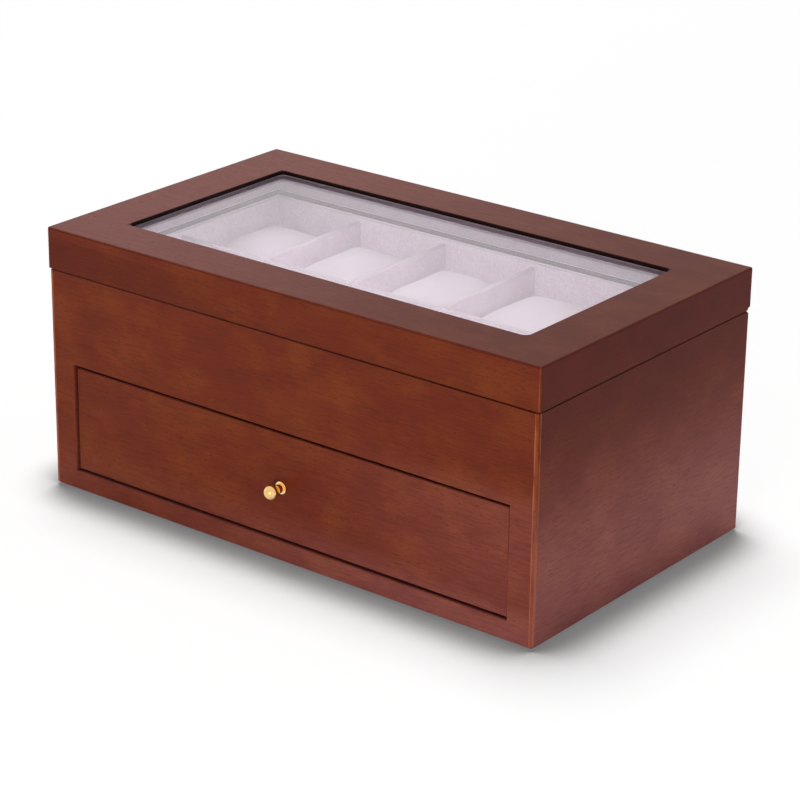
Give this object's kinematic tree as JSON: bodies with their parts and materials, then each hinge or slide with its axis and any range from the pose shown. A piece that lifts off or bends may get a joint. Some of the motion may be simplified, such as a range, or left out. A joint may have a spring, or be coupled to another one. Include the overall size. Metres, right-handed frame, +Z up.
{
  "type": "watch box",
  "caption": "Wooden watch box with a hinged glass-topped lid over a lined tray of soft watch cushions, and a full-width drawer with a brass knob below.",
  "frame": {"origin": "middle of the outline of the lid, on the surface the box stands on", "axes": "+X to the right along the front, +Y from the front to the hinged back, +Z up"},
  "size_m": [0.33, 0.2036, 0.152],
  "materials": {
    "stained_wood": "reddish-brown stain under satin lacquer",
    "plain_wood": "plain board, unfinished",
    "lining_fabric": "pale grey suede-like lining",
    "cushion_fabric": "smooth off-white cover over soft filling",
    "felt": "dark felt",
    "glass": "clear polished",
    "brass": "polished"
  },
  "bodies": {
    "case": {"base_felt": "felt", "case_back": "stained_wood", "case_base": "plain_wood", "case_front": "stained_wood", "case_left": "stained_wood", "case_right": "stained_wood", "drawer_runner_left": "plain_wood", "drawer_runner_right": "plain_wood", "drawer_stops": "plain_wood", "hinge_case_leaf": "brass", "hinge_case_screws": "brass", "hinge_pin": "brass", "tray_cross_divider_1": "lining_fabric", "tray_cross_divider_2": "lining_fabric", "tray_cross_divider_3": "lining_fabric", "tray_cross_divider_4": "lining_fabric", "tray_floor_lining": "lining_fabric", "tray_lining_back": "lining_fabric", "tray_lining_front": "lining_fabric", "tray_lining_left": "lining_fabric", "tray_lining_right": "lining_fabric", "tray_long_divider": "lining_fabric", "tray_shelf": "plain_wood"},
    "lid": {"lid_back_rail": "stained_wood", "lid_front_rail": "stained_wood", "lid_glass": "glass", "lid_glass_retainer": "plain_wood", "lid_left_rail": "stained_wood", "lid_lining_back": "lining_fabric", "lid_lining_front": "lining_fabric", "lid_lining_left": "lining_fabric", "lid_lining_right": "lining_fabric", "lid_right_rail": "stained_wood", "lid_top": "stained_wood", "hinge_lid_leaf": "brass", "hinge_lid_screws": "brass"},
    "drawer": {"drawer_back": "plain_wood", "drawer_bottom": "plain_wood", "drawer_floor_lining": "lining_fabric", "drawer_front": "stained_wood", "drawer_knob": "brass", "drawer_left": "plain_wood", "drawer_lining_back": "lining_fabric", "drawer_lining_front": "lining_fabric", "drawer_lining_left": "lining_fabric", "drawer_lining_right": "lining_fabric", "drawer_right": "plain_wood", "knob_screw": "brass"},
    "cushion_back_1": {"cushion_back_1": "cushion_fabric"},
    "cushion_back_2": {"cushion_back_2": "cushion_fabric"},
    "cushion_back_3": {"cushion_back_3": "cushion_fabric"},
    "cushion_back_4": {"cushion_back_4": "cushion_fabric"},
    "cushion_back_5": {"cushion_back_5": "cushion_fabric"},
    "cushion_front_1": {"cushion_front_1": "cushion_fabric"},
    "cushion_front_2": {"cushion_front_2": "cushion_fabric"},
    "cushion_front_3": {"cushion_front_3": "cushion_fabric"},
    "cushion_front_4": {"cushion_front_4": "cushion_fabric"},
    "cushion_front_5": {"cushion_front_5": "cushion_fabric"}
  },
  "joints": [
    {"name": "lid_hinge", "type": "hinge", "parent": "case", "child": "lid", "pos_m": [0, 0.09475, 0.12805], "axis": [-1, 0, 0], "range_deg": [0, 105]},
    {"name": "drawer_slide", "type": "slide", "parent": "case", "child": "drawer", "axis": [0, -1, 0], "range_m": [0, 0.13]},
    {"name": "lift_back_1", "type": "slide", "parent": "case", "child": "cushion_back_1", "axis": [0, 0, 1], "range_m": [0, 0.02]},
    {"name": "lift_back_2", "type": "slide", "parent": "case", "child": "cushion_back_2", "axis": [0, 0, 1], "range_m": [0, 0.02]},
    {"name": "lift_back_3", "type": "slide", "parent": "case", "child": "cushion_back_3", "axis": [0, 0, 1], "range_m": [0, 0.02]},
    {"name": "lift_back_4", "type": "slide", "parent": "case", "child": "cushion_back_4", "axis": [0, 0, 1], "range_m": [0, 0.02]},
    {"name": "lift_back_5", "type": "slide", "parent": "case", "child": "cushion_back_5", "axis": [0, 0, 1], "range_m": [0, 0.02]},
    {"name": "lift_front_1", "type": "slide", "parent": "case", "child": "cushion_front_1", "axis": [0, 0, 1], "range_m": [0, 0.02]},
    {"name": "lift_front_2", "type": "slide", "parent": "case", "child": "cushion_front_2", "axis": [0, 0, 1], "range_m": [0, 0.02]},
    {"name": "lift_front_3", "type": "slide", "parent": "case", "child": "cushion_front_3", "axis": [0, 0, 1], "range_m": [0, 0.02]},
    {"name": "lift_front_4", "type": "slide", "parent": "case", "child": "cushion_front_4", "axis": [0, 0, 1], "range_m": [0, 0.02]},
    {"name": "lift_front_5", "type": "slide", "parent": "case", "child": "cushion_front_5", "axis": [0, 0, 1], "range_m": [0, 0.02]}
  ]
}
